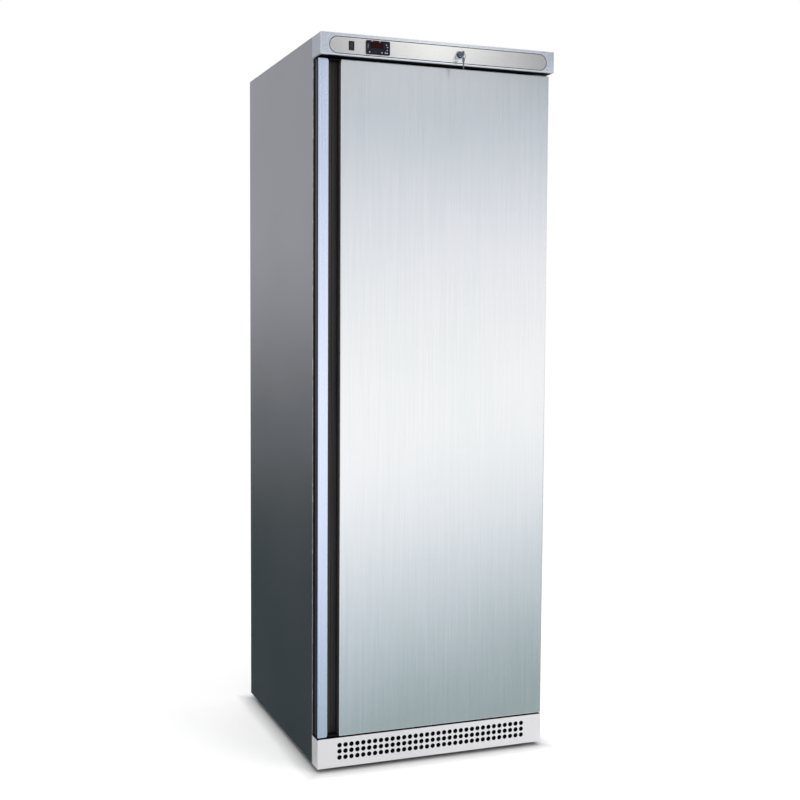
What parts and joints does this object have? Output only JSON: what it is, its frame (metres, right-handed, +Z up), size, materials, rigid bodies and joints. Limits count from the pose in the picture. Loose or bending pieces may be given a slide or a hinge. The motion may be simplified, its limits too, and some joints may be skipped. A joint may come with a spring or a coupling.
{
  "type": "upright commercial refrigerator",
  "caption": "Upright refrigerator with a solid steel door, side grip, lockable fascia, vented plinth, wire shelves and rear condenser.",
  "frame": {"origin": "on the floor under the centre of the bounding box", "axes": "+Z up, -Y out of the door, +X to the hinge side"},
  "size_m": [0.604, 0.7389, 1.7562],
  "materials": {
    "cabinet_steel": "satin metal-grey coated sheet",
    "door_steel": "fine brushed stainless steel",
    "zinc_sheet": "galvanised sheet",
    "foam": "rigid polyurethane foam",
    "liner_white": "vacuum-formed white liner",
    "frame_steel": "zinc-plated steel",
    "kickplate_white": "smooth light lacquer",
    "fascia_silver": "silver moulding",
    "inlay_silver": "fine brushed",
    "black_plastic": "fine grain",
    "window_red": "smoked red window",
    "button_black": "smooth",
    "chrome": "polished",
    "key_metal": "nickel-plated",
    "grip_aluminium": "anodised satin",
    "channel_dark": "dark extruded profile",
    "gasket_rubber": "soft black",
    "nylon_white": "natural nylon",
    "shelf_wire": "white coated wire",
    "cold_plate": "roll-bonded plate",
    "compressor_black": "black enamel",
    "condenser_black": "black enamel",
    "copper": "bare copper"
  },
  "bodies": {
    "cabinet": {"cabinet_wrapper": "cabinet_steel", "back_panel": "zinc_sheet", "foam_insulation": "foam", "inner_liner": "liner_white", "base_frame": "frame_steel", "kickplate_grille": "kickplate_white", "fascia_housing": "fascia_silver", "fascia_base": "black_plastic", "fascia_inlay": "inlay_silver", "switch_frame": "black_plastic", "controller_body": "black_plastic", "controller_window": "window_red", "lock_barrel": "chrome", "hinge_bracket_top": "frame_steel", "hinge_bracket_bottom": "frame_steel", "hinge_pins": "chrome", "hinge_bolts": "frame_steel", "fan_housing": "liner_white", "fan_motor": "frame_steel", "fan_guard": "liner_white", "evaporator_plate": "cold_plate", "compressor": "compressor_black", "compressor_grommets": "gasket_rubber", "relay_cover": "black_plastic", "cable_gland": "black_plastic", "evaporation_tray": "black_plastic", "drain_tube": "liner_white", "condenser": "condenser_black", "condenser_brackets": "black_plastic", "filter_drier": "copper", "roller_brackets": "frame_steel", "roller_axles": "frame_steel", "wire_shelf_1": "shelf_wire", "wire_shelf_2": "shelf_wire", "wire_shelf_3": "shelf_wire", "wire_shelf_4": "shelf_wire"},
    "door": {"door_skin": "door_steel", "door_foam": "foam", "door_liner": "liner_white", "door_gasket": "gasket_rubber", "handle_strip": "grip_aluminium", "handle_channel": "channel_dark", "handle_end_caps": "black_plastic", "hinge_bushes": "nylon_white"},
    "lock": {"lock_plug": "chrome", "lock_cam": "frame_steel", "door_key": "key_metal"},
    "ring": {"key_ring": "key_metal"},
    "spare": {"spare_key": "key_metal"},
    "rocker": {"power_rocker": "button_black"},
    "fan": {"fan_blades": "black_plastic"},
    "left_foot": {"foot_left": "black_plastic"},
    "right_foot": {"foot_right": "black_plastic"},
    "left_roller": {"roller_left": "button_black"},
    "right_roller": {"roller_right": "button_black"},
    "button_1": {"controller_button_1": "button_black"},
    "button_2": {"controller_button_2": "button_black"},
    "button_3": {"controller_button_3": "button_black"},
    "button_4": {"controller_button_4": "button_black"}
  },
  "joints": [
    {"name": "door_hinge", "type": "hinge", "parent": "cabinet", "child": "door", "pos_m": [0.287, -0.29775, 0.9], "axis": [0, 0, 1], "range_deg": [0, 110]},
    {"name": "lock_turn", "type": "hinge", "parent": "cabinet", "child": "lock", "pos_m": [0.0466, -0.33925, 1.7275], "axis": [0, 1, 0], "range_deg": [0, 90]},
    {"name": "key_ring_swing", "type": "hinge", "parent": "lock", "child": "ring", "pos_m": [0.0466, -0.36265, 1.7265], "axis": [1, 0, 0], "range_deg": [-20, 20]},
    {"name": "spare_key_swing", "type": "hinge", "parent": "ring", "child": "spare", "pos_m": [0.0466, -0.36265, 1.7155], "axis": [1, 0, 0], "range_deg": [-25, 25]},
    {"name": "rocker_tilt", "type": "hinge", "parent": "cabinet", "child": "rocker", "pos_m": [-0.227, -0.33775, 1.7275], "axis": [-1, 0, 0], "range_deg": [0, 20]},
    {"name": "fan_spin", "type": "hinge", "parent": "cabinet", "child": "fan", "pos_m": [0, 0.24925, 1.5585], "axis": [0, -1, 0], "continuous": true},
    {"name": "foot_left_screw", "type": "slide", "parent": "cabinet", "child": "left_foot", "axis": [0, 0, -1], "range_m": [0, 0.02]},
    {"name": "foot_right_screw", "type": "slide", "parent": "cabinet", "child": "right_foot", "axis": [0, 0, -1], "range_m": [0, 0.02]},
    {"name": "roller_left_spin", "type": "hinge", "parent": "cabinet", "child": "left_roller", "pos_m": [-0.277, 0.27925, 0.018], "axis": [1, 0, 0], "continuous": true},
    {"name": "roller_right_spin", "type": "hinge", "parent": "cabinet", "child": "right_roller", "pos_m": [0.277, 0.27925, 0.018], "axis": [1, 0, 0], "continuous": true},
    {"name": "button_1_press", "type": "slide", "parent": "cabinet", "child": "button_1", "axis": [0, 1, 0], "range_m": [0, 0.0005], "stiffness_N_per_m": 400},
    {"name": "button_2_press", "type": "slide", "parent": "cabinet", "child": "button_2", "axis": [0, 1, 0], "range_m": [0, 0.0005], "stiffness_N_per_m": 400},
    {"name": "button_3_press", "type": "slide", "parent": "cabinet", "child": "button_3", "axis": [0, 1, 0], "range_m": [0, 0.0005], "stiffness_N_per_m": 400},
    {"name": "button_4_press", "type": "slide", "parent": "cabinet", "child": "button_4", "axis": [0, 1, 0], "range_m": [0, 0.0005], "stiffness_N_per_m": 400}
  ]
}
